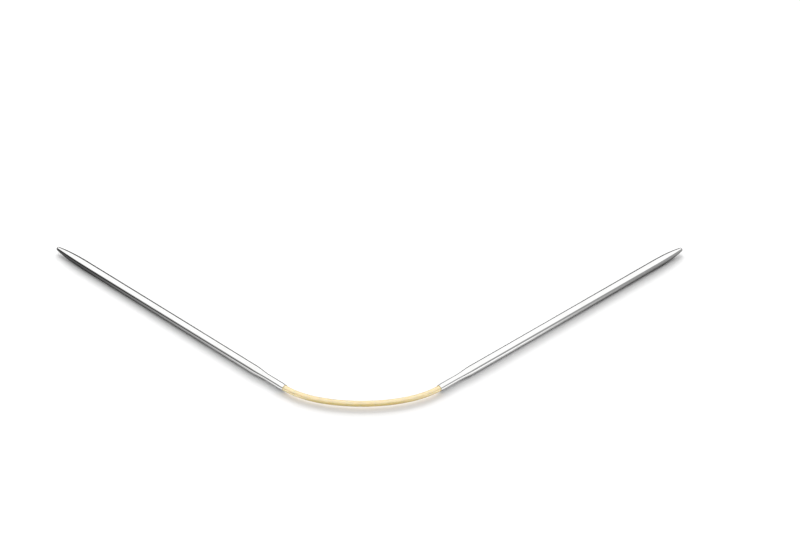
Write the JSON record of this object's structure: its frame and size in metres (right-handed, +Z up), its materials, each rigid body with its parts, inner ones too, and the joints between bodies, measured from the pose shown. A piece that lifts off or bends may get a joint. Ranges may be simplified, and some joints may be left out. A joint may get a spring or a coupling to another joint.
{
  "type": "circular knitting needle",
  "caption": "Short circular knitting needle: two rigid pointed metal tips joined by a short flexible cable that bends in plane and lifts.",
  "frame": {"origin": "centre of the bounding box's bottom face, on the surface that the needle lies on", "axes": "+X from the left tip to the right tip, +Y the way the V opens, +Z up from the surface; at rest the cable is in its relaxed curve"},
  "size_m": [0.1574, 0.0672, 0.0024],
  "materials": {
    "nickel_plate": "polished nickel plate over brass",
    "cable_sheath": "glossy translucent gold polyamide",
    "cable_core": "bare stranded steel",
    "adhesive": "clear amber adhesive"
  },
  "bodies": {
    "left_tip": {"left_shaft": "nickel_plate", "left_adhesive": "adhesive", "cable_sheath_01": "cable_sheath", "cable_core_01": "cable_core"},
    "cable_link_02": {"cable_sheath_02": "cable_sheath", "cable_core_02": "cable_core"},
    "cable_link_03": {"cable_sheath_03": "cable_sheath", "cable_core_03": "cable_core"},
    "cable_link_04": {"cable_sheath_04": "cable_sheath", "cable_core_04": "cable_core"},
    "cable_link_05": {"cable_sheath_05": "cable_sheath", "cable_core_05": "cable_core"},
    "cable_link_06": {"cable_sheath_06": "cable_sheath", "cable_core_06": "cable_core"},
    "cable_middle": {"cable_sheath_07": "cable_sheath", "cable_core_07": "cable_core"},
    "cable_link_08": {"cable_sheath_08": "cable_sheath", "cable_core_08": "cable_core"},
    "cable_link_09": {"cable_sheath_09": "cable_sheath", "cable_core_09": "cable_core"},
    "cable_link_10": {"cable_sheath_10": "cable_sheath", "cable_core_10": "cable_core"},
    "cable_link_11": {"cable_sheath_11": "cable_sheath", "cable_core_11": "cable_core"},
    "cable_link_12": {"cable_sheath_12": "cable_sheath", "cable_core_12": "cable_core"},
    "right_tip": {"right_shaft": "nickel_plate", "right_adhesive": "adhesive", "cable_sheath_13": "cable_sheath", "cable_core_13": "cable_core"}
  },
  "joints": [
    {"name": "left_bend_1", "type": "hinge", "parent": "cable_middle", "child": "cable_link_06", "pos_m": [-0.00167, -0.03293, 0.0012], "axis": [0, 0, -1], "range_deg": [-8, 6], "stiffness_Nm_per_rad": 0.06},
    {"name": "left_lift_1", "type": "hinge", "parent": "cable_link_06", "child": "cable_link_05", "pos_m": [-0.00497, -0.03247, 0.0012], "axis": [0.1392, 0.9903, 0], "range_deg": [0, 20], "stiffness_Nm_per_rad": 0.06},
    {"name": "left_bend_2", "type": "hinge", "parent": "cable_link_05", "child": "cable_link_04", "pos_m": [-0.00827, -0.03201, 0.0012], "axis": [0, 0, -1], "range_deg": [-9, 7], "stiffness_Nm_per_rad": 0.06},
    {"name": "left_bend_3", "type": "hinge", "parent": "cable_link_04", "child": "cable_link_03", "pos_m": [-0.01146, -0.03103, 0.0012], "axis": [0, 0, -1], "range_deg": [-12, 9], "stiffness_Nm_per_rad": 0.06},
    {"name": "left_lift_2", "type": "hinge", "parent": "cable_link_03", "child": "cable_link_02", "pos_m": [-0.01437, -0.02941, 0.0012], "axis": [0.4848, 0.8746, 0], "range_deg": [0, 20], "stiffness_Nm_per_rad": 0.06},
    {"name": "left_bend_4", "type": "hinge", "parent": "cable_link_02", "child": "left_tip", "pos_m": [-0.01729, -0.0278, 0.0012], "axis": [0, 0, -1], "range_deg": [-16, 12], "stiffness_Nm_per_rad": 0.06},
    {"name": "right_bend_1", "type": "hinge", "parent": "cable_middle", "child": "cable_link_08", "pos_m": [0.00167, -0.03293, 0.0012], "axis": [0, 0, 1], "range_deg": [-8, 6], "stiffness_Nm_per_rad": 0.06},
    {"name": "right_lift_1", "type": "hinge", "parent": "cable_link_08", "child": "cable_link_09", "pos_m": [0.00497, -0.03247, 0.0012], "axis": [0.1392, -0.9903, 0], "range_deg": [0, 20], "stiffness_Nm_per_rad": 0.06},
    {"name": "right_bend_2", "type": "hinge", "parent": "cable_link_09", "child": "cable_link_10", "pos_m": [0.00827, -0.03201, 0.0012], "axis": [0, 0, 1], "range_deg": [-9, 7], "stiffness_Nm_per_rad": 0.06},
    {"name": "right_bend_3", "type": "hinge", "parent": "cable_link_10", "child": "cable_link_11", "pos_m": [0.01146, -0.03103, 0.0012], "axis": [0, 0, 1], "range_deg": [-12, 9], "stiffness_Nm_per_rad": 0.06},
    {"name": "right_lift_2", "type": "hinge", "parent": "cable_link_11", "child": "cable_link_12", "pos_m": [0.01437, -0.02941, 0.0012], "axis": [0.4848, -0.8746, 0], "range_deg": [0, 20], "stiffness_Nm_per_rad": 0.06},
    {"name": "right_bend_4", "type": "hinge", "parent": "cable_link_12", "child": "right_tip", "pos_m": [0.01729, -0.0278, 0.0012], "axis": [0, 0, 1], "range_deg": [-16, 12], "stiffness_Nm_per_rad": 0.06}
  ]
}
